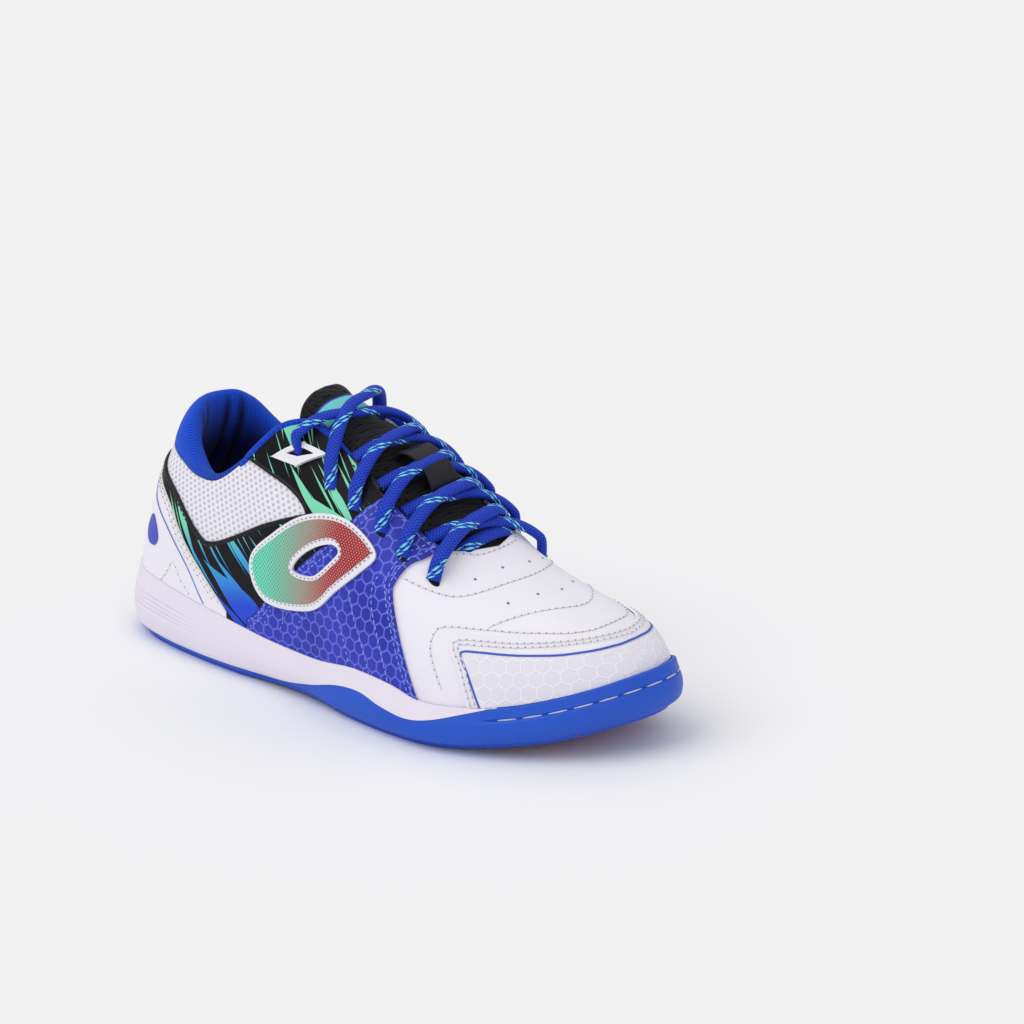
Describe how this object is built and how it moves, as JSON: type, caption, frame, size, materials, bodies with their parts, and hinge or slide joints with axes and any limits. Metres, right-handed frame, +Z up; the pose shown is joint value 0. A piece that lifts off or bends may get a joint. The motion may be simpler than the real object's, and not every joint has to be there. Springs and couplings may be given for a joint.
{
  "type": "indoor soccer shoe",
  "caption": "Right low-cut indoor soccer shoe with a hollow lace-up upper, padded collar and tongue, stitched overlays and a flat moulded cup sole",
  "frame": {"origin": "on the floor under the middle of the shoe's bounding box", "axes": "+X from heel to toe, +Y to the wearer's left (the medial side), +Z up"},
  "size_m": [0.2682, 0.0974, 0.1236],
  "materials": {
    "outsole": "satin non-marking moulded rubber, royal blue",
    "midsole": "matte moulded foam, off-white",
    "lining": "soft knit over foam, blue",
    "vamp_leather": "smooth white leather, low gloss",
    "tongue_mesh": "open black knit mesh",
    "side_overlay": "embossed blue overlay, satin",
    "quarter_print": "black printed panel, satin",
    "side_badge": "padded mesh patch, mint to dark red",
    "lace_loop": "raised white synthetic, satin",
    "tongue_patch": "plain thin moulded patch",
    "lace": "round braid, blue with mint tracers",
    "lace_keeper": "dark smooth strap"
  },
  "bodies": {
    "root": {"outsole": "outsole", "midsole": "midsole", "insole": "lining", "upper": "vamp_leather", "collar": "lining", "tongue": "tongue_mesh", "side_panel_lateral": "side_overlay", "side_panel_medial": "side_overlay", "quarter_lateral": "quarter_print", "quarter_medial": "quarter_print", "heel_counter": "vamp_leather", "toe_cap": "vamp_leather", "side_badge": "side_badge", "lace_loop_lateral": "lace_loop", "lace_loop_medial": "lace_loop", "tongue_patch": "tongue_patch", "lace_crossing_1": "lace", "lace_crossing_2": "lace", "lace_crossing_3": "lace", "lace_crossing_4": "lace", "lace_crossing_5": "lace", "lace_keeper": "lace_keeper", "lace_bar": "lace"}
  },
  "joints": []
}
